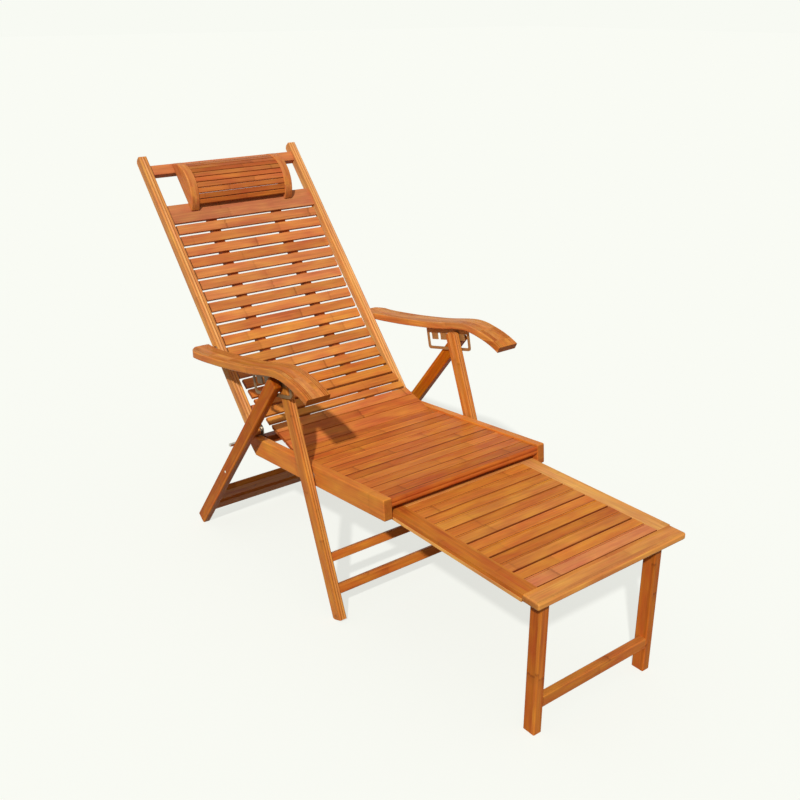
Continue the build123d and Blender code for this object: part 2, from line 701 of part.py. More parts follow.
# ---------------------------------------------------------------- front legs
front_leg_below = leg_end(leg_bolt, front_leg_angle, front_leg_depth)
with BuildPart() as front_leg:
    leg_foot = step_from(leg_bolt, front_leg_angle, -front_leg_below)
    leg_middle = front_leg_inside + front_leg_thickness / 2
    with BuildSketch(end_plane(leg_foot, front_leg_angle, leg_middle)):
        add(ridged_section(front_leg_thickness, front_leg_depth))
    extrude(amount=front_leg_below + apex_above_bolt + front_leg_depth / 2)
    with BuildSketch(side_plane(leg_bolt, front_leg_angle, front_leg_inside)):
        with Locations((apex_above_bolt, 0)):
            Circle(front_leg_depth / 2)
            Rectangle(front_leg_below + apex_above_bolt, front_leg_depth,
                      align=(Align.MAX, Align.CENTER))
    extrude(amount=front_leg_thickness, mode=Mode.INTERSECT)
    add(bolt_hole(leg_bolt, front_leg_inside, leg_bolt_end), mode=Mode.SUBTRACT)
    add(bolt_hole(apex, front_leg_inside + bolt_cover, front_leg_outside), mode=Mode.SUBTRACT)
    split(bisect_by=Plane.XY, keep=Keep.TOP)
save_pair(front_leg.part, "front_leg")

for name, (below, height) in zip(("upper", "lower"), front_stretchers):
    face = front_leg_depth / 2 - stretcher_set_back
    start = step_from(leg_bolt, front_leg_angle, -below - height, face)
    save(cross_board(start, front_leg_angle, height, stretcher_thickness, front_leg_inside,
                     edge_round), f"front_stretcher_{name}")

# The apex bolt is in two halves, one each side of the notched plate.
front_bolt_start = front_leg_inside + bolt_cover + turn_gap
save_both_sides(bolt_shank(apex, front_bolt_start, plate_inside - turn_gap), "apex_bolts_front")

# ---------------------------------------------------------------- rear legs
rear_leg_length = rear_leg_head + leg_end(apex, rear_leg_angle, rear_leg_depth)
rear_bolt_end = rear_leg_outside - bolt_cover
with BuildPart() as rear_leg:
    with BuildSketch(side_plane(apex, -rear_leg_angle, rear_leg_inside)) as rear_leg_side:
        with Locations((-rear_leg_head, 0)):
            Rectangle(rear_leg_length, rear_leg_depth, align=(Align.MIN, Align.CENTER))
        fillet(rear_leg_side.vertices().group_by(Axis.X)[0], rear_leg_corner)
    extrude(amount=rear_leg_thickness)
    fillet(rear_leg.faces().filter_by(Axis.X).edges(), edge_round)
    add(bolt_hole(apex, rear_leg_inside, rear_bolt_end), mode=Mode.SUBTRACT)
    split(bisect_by=Plane.XY, keep=Keep.TOP)
save_pair(rear_leg.part, "rear_leg")

for name, (below, height) in zip(("upper", "lower"), rear_stretchers):
    start = step_from(apex, -rear_leg_angle, below, rear_leg_depth / 2)
    save(cross_board(start, -rear_leg_angle, height, stretcher_thickness, rear_leg_inside,
                     edge_round), f"rear_stretcher_{name}")

rear_bolt_start = plate_inside + plate_thickness + turn_gap
save_both_sides(bolt_shank(apex, rear_bolt_start, rear_bolt_end - turn_gap), "apex_bolts_rear")

# ---------------------------------------------------------------- footrest
# The steel guide rod crosses the footrest's rear end and runs in the rails' grooves.
guide_rod_half = rail_inside + guide_groove_depth - guide_rod_end_gap
with BuildPart() as footrest_rod:
    with BuildSketch(side_plane(guide_rod, 0, -guide_rod_half)):
        Circle(guide_rod_diameter / 2)
    extrude(amount=2 * guide_rod_half)
save(footrest_rod.part, "footrest_rod")

with BuildPart() as rod_bore:
    with BuildSketch(side_plane(guide_rod, 0, -guide_rod_half)):
        Circle(guide_rod_diameter / 2 + bolt_play)
    extrude(amount=2 * guide_rod_half)

front_joint = -footrest_reach + front_board_width
rear_joint = footrest_rear - rear_bar_width


def level_board(start_x, end_x, front, rear, top, thickness, corner):
    """A level board between two X values and two side-view distances, given its top's height."""
    with BuildPart() as board:
        with BuildSketch(side_plane((front, top), 0, start_x)):
            with Locations(((rear - front) / 2, -thickness / 2)):
                RectangleRounded(rear - front, thickness, corner)
        extrude(amount=end_x - start_x)
    return board.part


with BuildPart() as footrest_side:
    add(level_board(slat_half, footrest_half, front_joint, footrest_rear, footrest_top,
                    side_board_thickness, slat_round))
    add(rod_bore.part, mode=Mode.SUBTRACT)
save_pair(footrest_side.part, "footrest_side")

runner_outside = footrest_half + runner_beyond
runner_top = footrest_top - side_board_thickness
save_pair(level_board(runner_outside - runner_width, runner_outside, front_joint, rear_joint,
                      runner_top, runner_thickness, slat_round), "footrest_runner")
save(level_board(-footrest_batten_width / 2, footrest_batten_width / 2, front_joint, rear_joint,
                 runner_top, runner_thickness, slat_round), "footrest_batten")

with BuildPart() as footrest_front_board:
    with BuildSketch(side_plane((-footrest_reach, footrest_top), 0, -footrest_half)) as nose:
        with Locations((front_board_width / 2, -board_thickness / 2)):
            Rectangle(front_board_width, board_thickness)
        fillet(nose.vertices().group_by(Axis.X)[0], front_board_round)
    extrude(amount=2 * footrest_half)
    nose_ends = footrest_front_board.edges().filter_by(Axis.Z).group_by(Axis.Y)[0]
    fillet(nose_ends, front_board_round)
save(footrest_front_board.part, "footrest_front_board")

with BuildPart() as footrest_rear_bar:
    add(level_board(-slat_half, slat_half, rear_joint, footrest_rear, footrest_top,
                    board_thickness, slat_round))
    add(rod_bore.part, mode=Mode.SUBTRACT)
save(footrest_rear_bar.part, "footrest_rear_bar")

foot_run = (rear_joint - front_joint) / footrest_slat_count
foot_joints = [(front_joint + i * foot_run, footrest_top) for i in range(footrest_slat_count + 1)]
save(slat_row(foot_joints, footrest_slat_gap, side_board_thickness, slat_half), "footrest_slats")

# Folding legs on butt hinges under the front board.
foot_leg_y = -footrest_reach + foot_leg_front
foot_leg_rear = foot_leg_y + foot_leg_depth
knuckle = (foot_leg_rear + knuckle_radius, footrest_under - knuckle_radius - turn_gap)
foot_leg_top = footrest_under - leaf_thickness - turn_gap
with BuildPart() as footrest_leg:
    with BuildSketch(Plane.XY):
        with Locations((foot_leg_inside + foot_leg_thickness / 2,
                        foot_leg_y + foot_leg_depth / 2 + y_shift)):
            RectangleRounded(foot_leg_thickness, foot_leg_depth, edge_round)
    extrude(amount=foot_leg_top)
save_pair(footrest_leg.part, "footrest_leg")

save(cross_board((foot_leg_y, foot_bar_bottom), 90, foot_bar_height, foot_bar_thickness,
                 foot_leg_inside, edge_round), "footrest_leg_bar")


def barrel(start, end, radius):
    """A round piece on the hinge's axis between two shares of its width."""
    with BuildPart() as piece:
        with BuildSketch(side_plane(knuckle, 0, foot_leg_inside + start * foot_leg_thickness)):
            Circle(radius)
        extrude(amount=(end - start) * foot_leg_thickness)
    return piece.part


end_gap = turn_gap / foot_leg_thickness
with BuildPart() as leaf_above:
    with BuildSketch(side_plane((knuckle[0], footrest_under), 0, foot_leg_inside)):
        Rectangle(leaf_length, leaf_thickness, align=(Align.MAX, Align.MAX))
    extrude(amount=foot_leg_thickness)
    add(barrel(0, 1, knuckle_radius))
    add(barrel(middle_start - end_gap, middle_end + end_gap, knuckle_radius + turn_gap),
        mode=Mode.SUBTRACT)
    add(barrel(0, 1, hinge_pin_diameter / 2), mode=Mode.SUBTRACT)
save_both_sides(leaf_above.part, "footrest_hinges")
save_both_sides(barrel(0, 1, hinge_pin_diameter / 2), "footrest_hinge_pins")

with BuildPart() as leaf_below:
    with BuildSketch(side_plane(knuckle, 0, foot_leg_inside)):
        with Locations((-knuckle_radius, -turn_gap)):
            Rectangle(leaf_thickness, leaf_length, align=(Align.MIN, Align.MAX))
    extrude(amount=foot_leg_thickness)
    add(barrel(0, middle_start, knuckle_radius + turn_gap), mode=Mode.SUBTRACT)
    add(barrel(middle_end, 1, knuckle_radius + turn_gap), mode=Mode.SUBTRACT)
    add(barrel(middle_start, middle_end, knuckle_radius))
    add(barrel(0, 1, hinge_pin_diameter / 2 + bolt_play), mode=Mode.SUBTRACT)
save_both_sides(leaf_below.part, "footrest_leg_leaves")

for label, point in (("back_pivot", back_pivot), ("arm_pivot", arm_pivot), ("apex", apex),
                     ("leg_bolt", leg_bolt), ("guide_rod", guide_rod), ("knuckle", knuckle)):
    print(label, round(point[0] + y_shift, 3), round(point[1], 3))
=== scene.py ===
import math

import bmesh
import bpy
from mathutils import Matrix, Vector


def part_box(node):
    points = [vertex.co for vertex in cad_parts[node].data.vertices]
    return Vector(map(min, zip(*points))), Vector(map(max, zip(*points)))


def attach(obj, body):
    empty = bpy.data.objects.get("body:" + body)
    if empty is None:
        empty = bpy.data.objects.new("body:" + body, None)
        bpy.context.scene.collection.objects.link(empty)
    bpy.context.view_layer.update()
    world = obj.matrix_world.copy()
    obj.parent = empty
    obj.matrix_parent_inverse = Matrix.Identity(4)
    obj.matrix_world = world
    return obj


# A folding recliner of lacquered bamboo. The frame brings every board, slat and bolt in its real
# shape, and each section below gives one group of them its finish, in the order of assembly.
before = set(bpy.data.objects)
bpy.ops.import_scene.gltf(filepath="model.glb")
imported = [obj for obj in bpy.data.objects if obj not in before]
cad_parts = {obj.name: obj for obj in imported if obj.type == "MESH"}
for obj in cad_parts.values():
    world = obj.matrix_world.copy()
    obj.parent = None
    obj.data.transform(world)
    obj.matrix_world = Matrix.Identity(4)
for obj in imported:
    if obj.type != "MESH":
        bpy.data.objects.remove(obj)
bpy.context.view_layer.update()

# ---------------------------------------------------------------- side rails of the seat
# Two boards of pressed bamboo strips on edge, 22 mm thick, planed, rounded and sprayed with a
# satin lacquer. The canes were steamed brown first, so their tones differ from strip to strip.
SEAT_LEAN = -4.97           # degrees by which the seat's boards rise to the rear


def linear(code):
    """An sRGB hex colour as the linear colour that a shader takes."""
    parts = [int(code[i:i + 2], 16) / 255 for i in (0, 2, 4)]
    return [c / 12.92 if c <= 0.04045 else ((c + 0.055) / 1.055) ** 2.4 for c in parts] + [1]


def add(tree, kind, inputs=(), out=0, **settings):
    """Adds one node with its settings, sets or links its inputs, and gives one of its outputs."""
    node = tree.nodes.new(kind)
    for key, value in settings.items():
        setattr(node, key, value)
    for key, value in inputs.items() if isinstance(inputs, dict) else enumerate(inputs):
        if isinstance(value, bpy.types.NodeSocket):
            tree.links.new(value, node.inputs[key])
        else:
            node.inputs[key].default_value = value
    return node.outputs[out]


def lacquered_bamboo(name, tones, lean=0.0, crosswise=False, starts=None, seam=0.0, strip=0.02,
                     cane=0.3, joints=0.5, ends=0.45, streak=1.0, sheen=0.06, grooves=None,
                     seed=0.0):
    """Steamed bamboo under satin lacquer: a warm brown with long straight fibres that deepen and
    fade, a dark smudge where each cane had a joint, darker sawn ends and a soft clear sheen.

    `lean` is the angle in degrees by which the boards rise to the rear, and `crosswise` boards
    run from side to side. `starts` are the places where separate slats begin. Each slat takes the
    next of the `tones`, after a line of painted shadow `seam` wide, the shade that falls into the
    gap between two slats. The real gap is a hair line, and its shadow is drawn wider so that it
    shows. Without `starts`, strips of `strip` metres take the tones by chance, and `seed` changes
    that. `cane` is the distance in metres from one joint of the cane to the next. `joints`,
    `ends` and `streak` are the strengths of the joints, of the darkening of the sawn ends, which
    is partly painted shade, and of the fibres, and `sheen` that of the lacquer's shine. `grooves`
    are lines run along the upper face: the distance of the board's `middle` from the chair's, of
    the `first` line from that, then the lines' `pitch`, `count` and `depth` of tone."""
    material = bpy.data.materials.new(name)
    material.use_nodes = True
    tree = material.node_tree
    shader = tree.nodes["Principled BSDF"]

    # The boards' own directions: along the fibres, across them, and out of their upper faces.
    place, face = [
        add(tree, "ShaderNodeVectorRotate",
            {"Vector": add(tree, "ShaderNodeTexCoord", out=space), "Angle": -math.radians(lean)},
            rotation_type="X_AXIS")
        for space in ("Object", "Normal")]
    x, run, rise = add(tree, "ShaderNodeSeparateXYZ", [place]).node.outputs
    face_x, face_run, face_rise = add(tree, "ShaderNodeSeparateXYZ", [face]).node.outputs
    along, beside, sawn = (x, run, face_x) if crosswise else (run, x, face_run)

    # Slats take the tones in turn. Strips, which are twice as deep as wide, take them by chance.
    tone = add(tree, "ShaderNodeValToRGB")
    stops = tone.node.color_ramp.elements
    tone.node.color_ramp.interpolation = "CONSTANT"
    if starts:
        last_slat = 0.05
        span = starts[-1] - starts[0] + last_slat
        spots = [(start - starts[0]) / span for start in starts]
        tones = [tones[i % len(tones)] for i in range(len(starts))]
        # Each slat begins with a line of painted shadow, the shade in the gap between two slats.
        if seam:
            gap_shadow_tone = "7c3c16"
            spots = sorted(spots + [spot + seam / span for spot in spots])
            tones = [code for own in tones for code in (gap_shadow_tone, own)]
        offset = add(tree, "ShaderNodeMath", [beside, starts[0]], operation="SUBTRACT")
        lane = add(tree, "ShaderNodeMath", [offset, span], operation="DIVIDE")
        chance = add(tree, "ShaderNodeTexWhiteNoise", {"Vector": tone})
    else:
        spots = [i / len(tones) for i in range(len(tones))]
        across = add(tree, "ShaderNodeMath", [beside, 1 / strip, seed], operation="MULTIPLY_ADD")
        deep = add(tree, "ShaderNodeMath", [rise, 0.5 / strip], operation="MULTIPLY")
        cell = add(tree, "ShaderNodeCombineXYZ",
                   [add(tree, "ShaderNodeMath", [across], operation="FLOOR"),
                    add(tree, "ShaderNodeMath", [deep], operation="FLOOR"), seed])
        chance = lane = add(tree, "ShaderNodeTexWhiteNoise", {"Vector": cell})
    tree.links.new(lane, tone.node.inputs[0])
    while len(stops) < len(tones):
        stops.new(1.0)
    for stop, spot, code in zip(stops, spots, tones):
        stop.position = spot
        stop.color = linear(code)

    # Fibres 90 mm long, bundles of them 5 mm wide, and clouds 30 mm wide. A real fibre is under
    # 0.3 mm wide, and is drawn 1.2 mm wide so that it shows. Chance moves the grain of each
    # strip or slat along by up to 5 m, so that no two are alike.
    shifted = add(tree, "ShaderNodeMath", [chance, 5.0, along], operation="MULTIPLY_ADD")
    grain_place = add(tree, "ShaderNodeCombineXYZ", [shifted, beside, rise])
    fine, bundle, cloud = [
        add(tree, "ShaderNodeTexNoise",
            {"Vector": add(tree, "ShaderNodeVectorMath",
                           [grain_place, (1 / length, 1 / width, 1 / width)],
                           operation="MULTIPLY"),
             "Scale": 1.0, "Detail": detail, "Roughness": 0.6})
        for length, width, detail in ((0.09, 0.0012, 2.0), (0.14, 0.005, 3.0), (0.10, 0.03, 2.0))]

    # Each stretch of cane from one joint to the next has a shade of its own, and the joints of
    # two strips don't line up.
    turns = add(tree, "ShaderNodeMath", [chance, 7.31], operation="MULTIPLY")
    canes = add(tree, "ShaderNodeMath", [along, 1 / cane, turns], operation="MULTIPLY_ADD")
    past_joint = add(tree, "ShaderNodeMath", [canes, 0.5], operation="ADD")
    number = add(tree, "ShaderNodeMath", [past_joint], operation="FLOOR")
    stretch = add(tree, "ShaderNodeTexWhiteNoise",
                  {"Vector": add(tree, "ShaderNodeCombineXYZ", [number, chance])})

    # A joint is a ragged band that fades over its half width, with a smudge of dark fibres on
    # one side of it. The palest are a fifth as strong as the darkest.
    band_core, band_half, smudge_length, raggedness = 0.0012, 0.0045, 0.028, 0.012
    phase = add(tree, "ShaderNodeMath", [canes], operation="FRACT")
    off = add(tree, "ShaderNodeMath",
              [add(tree, "ShaderNodeMath", [phase, 0.5], operation="SUBTRACT"), cane],
              operation="MULTIPLY")
    ragged = add(tree, "ShaderNodeMath",
                 [add(tree, "ShaderNodeMath", [bundle, 0.5], operation="SUBTRACT"), raggedness,
                  off], operation="MULTIPLY_ADD")
    band = add(tree, "ShaderNodeMapRange",
               [add(tree, "ShaderNodeMath", [ragged], operation="ABSOLUTE"),
                band_core, band_half, 1.0, 0.0], interpolation_type="SMOOTHSTEP")
    before = add(tree, "ShaderNodeMapRange", [ragged, -smudge_length, 0.0, 0.0, 0.9],
                 interpolation_type="SMOOTHSTEP")
    behind = add(tree, "ShaderNodeMath", [ragged, 0.0], operation="LESS_THAN")
    smudge = add(tree, "ShaderNodeMath",
                 [add(tree, "ShaderNodeMath", [before, behind], operation="MULTIPLY"), fine],
                 operation="MULTIPLY")
    joint = add(tree, "ShaderNodeMath",
                [add(tree, "ShaderNodeMath", [smudge, band], operation="MAXIMUM"),
                 add(tree, "ShaderNodeMath", [chance, 0.8 * joints, 0.2 * joints],
                     operation="MULTIPLY_ADD")],
                operation="MULTIPLY")

    # Sawn ends, which are the faces that look along the fibres, drink the lacquer and go dark,
    # and painted shade darkens them further.
    sawn_end = add(tree, "ShaderNodeMapRange",
                   [add(tree, "ShaderNodeMath", [sawn], operation="ABSOLUTE"),
                    0.6, 0.9, 0.0, ends])
    dark = add(tree, "ShaderNodeMath", [joint, sawn_end], operation="MAXIMUM")

    # Each groove is drawn as a dark line, on faces that look up.
    if grooves:
        line_core, line_half = 0.0006, 0.0014
        aside = add(tree, "ShaderNodeMath",
                    [add(tree, "ShaderNodeMath", [x], operation="ABSOLUTE"), grooves["middle"]],
                    operation="SUBTRACT")
        from_first = add(tree, "ShaderNodeMath",
                         [add(tree, "ShaderNodeMath", [aside], operation="ABSOLUTE"),
                          grooves["first"]], operation="SUBTRACT")
        steps = add(tree, "ShaderNodeMath", [from_first, grooves["pitch"]], operation="DIVIDE")
        nearest = add(tree, "ShaderNodeClamp",
                      [add(tree, "ShaderNodeMath", [steps], operation="ROUND"),
                       0, grooves["count"] - 1])
        apart = add(tree, "ShaderNodeMath",
                    [add(tree, "ShaderNodeMath", [steps, nearest], operation="SUBTRACT"),
                     grooves["pitch"]], operation="MULTIPLY")
        line = add(tree, "ShaderNodeMapRange",
                   [add(tree, "ShaderNodeMath", [apart], operation="ABSOLUTE"),
                    line_core, line_half, grooves["depth"], 0.0])
        upward = add(tree, "ShaderNodeMath", [face_rise, 0.2], operation="GREATER_THAN")
        line = add(tree, "ShaderNodeMath", [line, upward], operation="MULTIPLY")
        dark = add(tree, "ShaderNodeMath", [dark, line], operation="MAXIMUM")

    # The layers lighten and darken the tone about its own level, the clouds make it a little
    # redder or yellower, and the dark marks go over it.
    # The dark tone of the joints, the groove lines and the sawn ends, whose darkness is partly
    # painted shade.
    joint_and_shade_tone = linear("6a2c0e")
    layers = ((stretch, 0.16), (fine, 0.5 * streak), (bundle, 0.7 * streak),
              (cloud, 0.5 * streak))
    shade = 1.0 - sum(weight for layer, weight in layers) / 2
    for layer, weight in layers:
        shade = add(tree, "ShaderNodeMath", [layer, weight, shade], operation="MULTIPLY_ADD")
    warmth = add(tree, "ShaderNodeMapRange", [cloud, 0.3, 0.7, 0.49, 0.51])
    wood = add(tree, "ShaderNodeHueSaturation", {"Color": tone, "Value": shade, "Hue": warmth})
    colour = add(tree, "ShaderNodeMix", {0: dark, 6: wood, 7: joint_and_shade_tone}, out=2, data_type="RGBA")
    tree.links.new(colour, shader.inputs["Base Color"])

    # The lacquer is satin, duller over the fibres, and sinks a little into each joint.
    rough = add(tree, "ShaderNodeMath", [fine, 0.2, 0.34], operation="MULTIPLY_ADD")
    tree.links.new(rough, shader.inputs["Roughness"])
    height = add(tree, "ShaderNodeMath", [band, 0.5, fine], operation="MULTIPLY_ADD")
    bump = add(tree, "ShaderNodeBump", {"Strength": 0.35, "Distance": 0.0004, "Height": height})
    tree.links.new(bump, shader.inputs["Normal"])
    shader.inputs["IOR"].default_value = 1.5
    shader.inputs["Specular IOR Level"].default_value = sheen
    shader.inputs["Coat Weight"].default_value = sheen / 4
    shader.inputs["Coat Roughness"].default_value = 0.3
    return material


def finish(material, *nodes):
    """Gives the frame's nodes their material."""
    for node in nodes:
        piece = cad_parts[node]
        piece.data.materials.clear()
        piece.data.materials.append(material)


finish(lacquered_bamboo("Side rail bamboo", ["d47f35", "da863b", "cc752b", "dd8b45"],
                        lean=SEAT_LEAN, strip=0.022, joints=0.35, streak=0.8),
       "seat_rail_left", "seat_rail_right")

# ---------------------------------------------------------------- nosing, bars, ledgers and ribs
# The same bamboo in half-hidden strips. The two-ridged nosing closes the seat's front, and the
# bars, ledgers and ribs under the slats are glued and screwed to the rails.
finish(lacquered_bamboo("Nosing bamboo", ["b95c22", "c06428"], lean=SEAT_LEAN, crosswise=True,
                        strip=0.05, joints=0.3, seed=3.0),
       "seat_nosing", "seat_front_bar")
finish(lacquered_bamboo("Support bamboo", ["ae5e24", "b56429", "a4561f"], lean=SEAT_LEAN,
                        seed=5.0),
       "seat_ledger_left", "seat_ledger_right", "seat_rib_left", "seat_rib_right")
finish(lacquered_bamboo("Cross bar bamboo", ["a8561e", "b26026"], crosswise=True, seed=6.0),
       "seat_rear_bar")

# ---------------------------------------------------------------- seat slats
# Thin slats across the seat, laid edge to edge and tacked from below. Each was cut from another
# cane, so each has its own brown, from honey to red, and its joints fall in other places.


def slat_starts(node, lean):
    """Where each slat of a node begins, in metres along boards with that lean. That is told a
    hair early, so that the slat's own edge takes its tone too."""
    hair = 0.0002
    shell = bmesh.new()
    shell.from_mesh(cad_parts[node].data)
    bmesh.ops.remove_doubles(shell, verts=shell.verts, dist=1e-5)
    turn = Matrix.Rotation(-math.radians(lean), 3, "X")
    starts, seen = [], set()
    for vert in shell.verts:
        if vert in seen:
            continue
        seen.add(vert)
        waiting, lowest = [vert], math.inf
        while waiting:
            here = waiting.pop()
            lowest = min(lowest, (turn @ here.co).y)
            for edge in here.link_edges:
                there = edge.other_vert(here)
                if there not in seen:
                    seen.add(there)
                    waiting.append(there)
        starts.append(lowest - hair)
    shell.free()
    return sorted(starts)


seat_tones = ["bc6223", "ca712e", "c56d2b", "cc7432", "bf6627", "c9722e", "c36c2a", "cc7530",
              "c7702c", "c06827", "ca7230", "c56e2d"]
finish(lacquered_bamboo("Flat slat bamboo", seat_tones, lean=SEAT_LEAN, crosswise=True,
                        starts=slat_starts("seat_slats", SEAT_LEAN), seam=0.0016,
                        cane=0.31, joints=0.45),
       "seat_slats")
RISE_LEAN = 17.0            # the middle of the seat's rear, which curves up to the back
finish(lacquered_bamboo("Risen slat bamboo", ["c87035", "c16a2e", "cb763b"], lean=RISE_LEAN,
                        crosswise=True, starts=slat_starts("seat_curve_slats", RISE_LEAN),
                        cane=0.26),
       "seat_curve_slats")

# ---------------------------------------------------------------- steel rod, plates and bolts
# Turned and stamped mild steel with a bright zinc plating: the stop rod behind the seat, the
# plates and bolts of the pivots, and the rings between the boards.


def plated_steel(name, colour, roughness, metallic=1.0):
    """Plated or sprayed steel: a soft satin metal with fine tool marks and faint cloudy patches.

    Real tool marks are about 0.1 mm apart, and are drawn 0.8 mm apart so that they show."""
    mark, patch = 0.0008, 0.02
    material = bpy.data.materials.new(name)
    material.use_nodes = True
    tree = material.node_tree
    shader = tree.nodes["Principled BSDF"]
    place = add(tree, "ShaderNodeTexCoord", out="Object")
    marks = add(tree, "ShaderNodeTexNoise", {"Vector": place, "Scale": 1 / mark, "Detail": 3.0})
    patches = add(tree, "ShaderNodeTexNoise", {"Vector": place, "Scale": 1 / patch})
    value = add(tree, "ShaderNodeMath", [patches, 0.5, 0.75], operation="MULTIPLY_ADD")
    grey = add(tree, "ShaderNodeHueSaturation", {"Color": linear(colour), "Value": value})
    tree.links.new(grey, shader.inputs["Base Color"])
    rough = add(tree, "ShaderNodeMath", [marks, 0.25, roughness - 0.12],
                operation="MULTIPLY_ADD")
    tree.links.new(rough, shader.inputs["Roughness"])
    bump = add(tree, "ShaderNodeBump", {"Strength": 0.2, "Distance": 0.0002, "Height": marks})
    tree.links.new(bump, shader.inputs["Normal"])
    shader.inputs["Metallic"].default_value = metallic
    return material


finish(plated_steel("Bright zinc rod", "c9c7c0", 0.30), "leg_stop_rod", "footrest_rod")
finish(plated_steel("Zinc bolts", "a89f90", 0.38),
       "back_pivot_bolts", "leg_pivot_bolts", "apex_bolts_front", "apex_bolts_rear",
       "arm_pivot_bolts", "pivot_spacers", "arm_pivot_spacers", "back_hinge_plate_left",
       "back_hinge_plate_right")

# ---------------------------------------------------------------- back stiles
# Two uprights of bamboo strips glued edge to edge, their fronts run through a three-ridged
# cutter. The ridges catch the light as fine golden lines, with dark lines drawn between them.
BACK_LEAN = 48.67
finish(lacquered_bamboo("Stile bamboo", ["d48f4e", "d99759", "cd8644", "db9d60"],
                        lean=BACK_LEAN, strip=0.0073, cane=0.34, joints=0.25,
                        grooves=dict(middle=0.2355, first=0.00367, pitch=0.00733, count=1,
                                     depth=0.35)),
       "back_stile_left", "back_stile_right")

# ---------------------------------------------------------------- back slats, ribs and bars
# Slats with open gaps on two ribs, all tacked from behind. The upper ones are the redder, and
# the wide top slat and the top rail reach from stile to stile.
lower_tones = ["c87b37", "c07231", "cb7834", "c3702d", "cc7b37"]
upper_tones = ["c97b3e", "c27638", "cb7d3b", "ce7f3c", "c4733b", "ca7b43", "c2743d", "cd7f4a",
               "c57742", "c97b45", "c1703b", "c77742", "c3743e", "c67744"]
finish(lacquered_bamboo("Lower back slat bamboo", lower_tones, lean=BACK_LEAN, crosswise=True,
                        starts=slat_starts("back_slats_lower", BACK_LEAN), cane=0.27),
       "back_slats_lower")
finish(lacquered_bamboo("Upper back slat bamboo", upper_tones, lean=BACK_LEAN, crosswise=True,
                        starts=slat_starts("back_slats_upper", BACK_LEAN), cane=0.27),
       "back_slats_upper")
finish(lacquered_bamboo("Top slat bamboo", ["b97147", "be774a"], lean=BACK_LEAN, crosswise=True,
                        strip=0.04, seed=8.0),
       "back_top_slat")
finish(lacquered_bamboo("Top rail bamboo", ["be6b3e", "c57244"], lean=BACK_LEAN, crosswise=True,
                        strip=0.04, seed=9.0),
       "back_top_rail", "back_low_bar")
finish(lacquered_bamboo("Back rib bamboo", ["a4532a", "9c4d26"], lean=BACK_LEAN, strip=0.012,
                        seed=4.0),
       "back_rib_left", "back_rib_right")

# ---------------------------------------------------------------- headrest
# Narrow slats between two D-shaped cheeks, with fine open slits between them. The slats are the
# reddest bamboo on the chair, and the cheeks show their layers.
# The lower slats are given lighter tones, as painted light against the shade on the front, and
# the upper ones darker tones, as painted shade against the light on the top.
head_tones = ["bd682d", "b9652f", "c06c35", "bf6938", "bb6432", "b16533", "ab5c28", "b0632e",
              "ad602b", "b46a35"]
finish(lacquered_bamboo("Headrest slat bamboo", head_tones, lean=BACK_LEAN, crosswise=True,
                        starts=slat_starts("headrest_slats", BACK_LEAN), seam=0.0014,
                        cane=0.24, joints=0.35),
       "headrest_slats")
finish(lacquered_bamboo("Headrest cheek bamboo", ["c4743a", "c97b41"], lean=BACK_LEAN,
                        strip=0.006, joints=0.2, seed=7.0),
       "headrest_cheek_left", "headrest_cheek_right")

# ---------------------------------------------------------------- armrests
# Bamboo strips laminated over a curved form, with three fine grooves cut along either edge,
# each drawn as a dark line.
ARM_LEAN = -8.0
# The armrests' sawn ends are darkened more, with painted shade.
finish(lacquered_bamboo("Armrest bamboo", ["cd7f3d", "d28846", "c87834", "c2722d"],
                        lean=ARM_LEAN, strip=0.0102, cane=0.33, joints=0.35, ends=0.85,
                        grooves=dict(middle=0.2795, first=0.0165, pitch=0.0045, count=3,
                                     depth=0.75)),
       "armrest_left", "armrest_right")

# ---------------------------------------------------------------- notched brackets
# Stamped steel plates under the arms, sprayed with a bronze lacquer that is cloudy and worn, so
# they look more like paint than like bare metal. The sitter's right one, which sits in the arm's
# shade, is given a darker colour as painted shade.
finish(plated_steel("Bronzed plate", "ac7f4a", 0.5, metallic=0.3), "arm_bracket_left")
# The same plate, painted darker as painted shade.
finish(plated_steel("Bronzed plate in painted shade", "80603a", 0.5, metallic=0.3), "arm_bracket_right")

# ---------------------------------------------------------------- crossed legs
# Ridged front legs and plain rear legs, sawn square, each pair joined by two stretchers that are
# let into them and glued. The rear legs are the redder pair, and their stretchers the dullest.
FRONT_LEG_LEAN = 69.05
REAR_LEG_LEAN = -51.21
finish(lacquered_bamboo("Front leg bamboo", ["c97c37", "ce833f", "c3742f"], lean=FRONT_LEG_LEAN,
                        strip=0.0062, joints=0.35, seed=11.0,
                        grooves=dict(middle=0.25625, first=0.00308, pitch=0.00617, count=1,
                                     depth=0.3)),
       "front_leg_left", "front_leg_right")
finish(lacquered_bamboo("Rear leg bamboo", ["b7600f", "bc6616", "ad5709"], lean=REAR_LEG_LEAN,
                        strip=0.0092, joints=0.4, seed=12.0),
       "rear_leg_left", "rear_leg_right")
finish(lacquered_bamboo("Front stretcher bamboo", ["c46c28", "ca742f"], lean=FRONT_LEG_LEAN,
                        crosswise=True, strip=0.016, seed=13.0),
       "front_stretcher_upper", "front_stretcher_lower")
finish(lacquered_bamboo("Rear stretcher bamboo", ["c2722e", "bb6a28"], lean=REAR_LEG_LEAN,
                        crosswise=True, sheen=0.03, seed=14.0),
       "rear_stretcher_upper", "rear_stretcher_lower")

# ---------------------------------------------------------------- rear leg screws
# A zinc-plated button-head screw, 7 mm across with a hexagonal socket, halfway down each rear
# leg. It is turned from bar, and its colour is made paler than zinc, as a painted highlight, so
# that it shows as a small pale dot.
SCREW_RADIUS, SCREW_HEIGHT, SCREW_SIDES = 0.0035, 0.0012, 24
SCREW_Y, SCREW_Z = 0.2871, 0.2174       # behind the chair's middle, and above the floor
